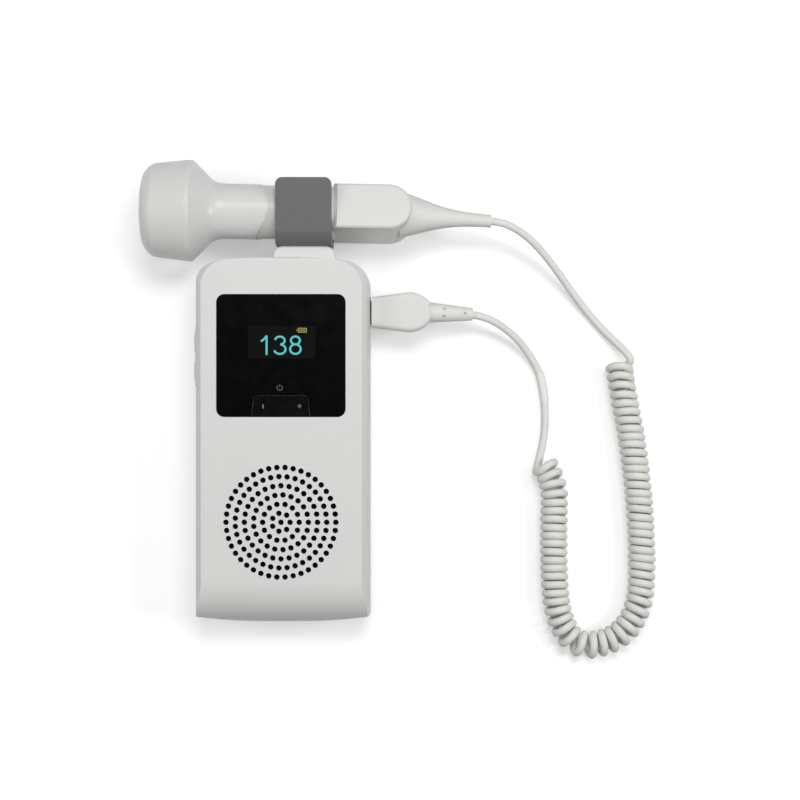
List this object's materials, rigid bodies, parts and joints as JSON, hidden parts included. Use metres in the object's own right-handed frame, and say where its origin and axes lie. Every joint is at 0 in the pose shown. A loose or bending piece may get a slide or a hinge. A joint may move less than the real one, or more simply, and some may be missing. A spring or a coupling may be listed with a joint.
{
  "type": "fetal doppler monitor",
  "caption": "Handheld fetal doppler with a display and a speaker, its probe held in a spring clip on top and joined to a side plug by a coiled lead.",
  "frame": {"origin": "centre of the main unit's flat back, on the surface it lies on", "axes": "+Z out of the unit's front face, +Y along the unit towards the clip and probe, +X to the right of the display, towards the plug"},
  "size_m": [0.1973, 0.191, 0.0387],
  "materials": {
    "case_white": "satin white ABS",
    "window_black": "polished black acrylic",
    "key_black": "smooth black plastic",
    "key_white": "satin white plastic",
    "tape_black": "black foam adhesive frame",
    "panel_glass": "display panel glass, dark when unlit",
    "holder_grey": "moulded grey frame",
    "flex_amber": "amber flat cable",
    "board_green": "solder mask over glass fibre",
    "chip_black": "black chip moulding",
    "capacitor_sleeve": "dark shrink sleeve",
    "tinned_steel": "tinned sheet steel",
    "screw_steel": "zinc-plated screws",
    "switch_black": "black switch body",
    "speaker_cloth": "fine black cloth",
    "speaker_steel": "blackened pressed steel",
    "magnet_grey": "ferrite magnet",
    "cone_paper": "dark pressed paper",
    "socket_black": "black moulded socket",
    "contact_brass": "gold-flashed brass pins",
    "spring_steel": "nickel-plated spring wire",
    "cell_jacket": "plain blue-grey cell jacket; aluminium's density is close to a filled cell's",
    "clip_grey": "dark grey moulded spring clip",
    "probe_white": "satin white plastic",
    "crystal_ceramic": "silvered piezo ceramic",
    "backing_dark": "loaded epoxy backing",
    "seal_grey": "soft grey ring",
    "soft_white": "soft white overmoulding",
    "plug_white": "fine-textured white plastic",
    "core_black": "black contact carrier",
    "cord_white": "warm grey-white cord jacket"
  },
  "bodies": {
    "main_unit": {"front_cover": "case_white", "rear_cover": "case_white", "display_window": "window_black", "window_tape": "tape_black", "oled_panel": "panel_glass", "oled_holder": "holder_grey", "oled_flex": "flex_amber", "main_board": "board_green", "board_chips": "chip_black", "board_capacitors": "capacitor_sleeve", "shield_can": "tinned_steel", "board_screws": "screw_steel", "power_switch": "switch_black", "volume_switches": "switch_black", "speaker_cloth": "speaker_cloth", "speaker_frame": "speaker_steel", "speaker_magnet": "magnet_grey", "speaker_cone": "cone_paper", "speaker_screws": "screw_steel", "battery_cells": "cell_jacket", "battery_springs": "spring_steel", "battery_plates": "tinned_steel", "case_screws": "screw_steel", "probe_socket": "socket_black", "socket_pins": "contact_brass", "headphone_jack": "socket_black", "probe_clip": "clip_grey", "clip_screws": "screw_steel", "cord_coil": "cord_white", "sleeve_lead": "cord_white", "cord_sleeve": "soft_white"},
    "power_key": {"power_key": "key_black"},
    "volume_up_key": {"volume_up_key": "key_white"},
    "volume_down_key": {"volume_down_key": "key_white"},
    "battery_cover": {"battery_cover": "case_white"},
    "connector": {"plug_body": "plug_white", "plug_core": "core_black", "plug_strain_relief": "soft_white", "plug_lead": "cord_white"},
    "probe": {"probe_front_shell": "probe_white", "probe_back_shell": "probe_white", "probe_face_cap": "probe_white", "crystal_halves": "crystal_ceramic", "backing_block": "backing_dark", "face_seal": "seal_grey", "probe_board": "board_green", "probe_board_chips": "chip_black", "probe_screws": "screw_steel", "probe_strain_relief": "soft_white", "probe_lead": "cord_white"}
  },
  "joints": [
    {"name": "power_key_press", "type": "slide", "parent": "main_unit", "child": "power_key", "axis": [0, 0, -1], "range_m": [0, 0.0008], "stiffness_N_per_m": 1500},
    {"name": "volume_up_press", "type": "slide", "parent": "main_unit", "child": "volume_up_key", "axis": [1, 0, 0], "range_m": [0, 0.0006], "stiffness_N_per_m": 2000},
    {"name": "volume_down_press", "type": "slide", "parent": "main_unit", "child": "volume_down_key", "axis": [1, 0, 0], "range_m": [0, 0.0006], "stiffness_N_per_m": 2000},
    {"name": "battery_cover_slide", "type": "slide", "parent": "main_unit", "child": "battery_cover", "axis": [0, -1, 0], "range_m": [0, 0.068]},
    {"name": "connector_pull", "type": "slide", "parent": "main_unit", "child": "connector", "axis": [1, 0, 0], "range_m": [0, 0.014]},
    {"name": "probe_pull", "type": "slide", "parent": "main_unit", "child": "probe", "axis": [0.0192, 0.9998, 0], "range_m": [0, 0.03]}
  ]
}
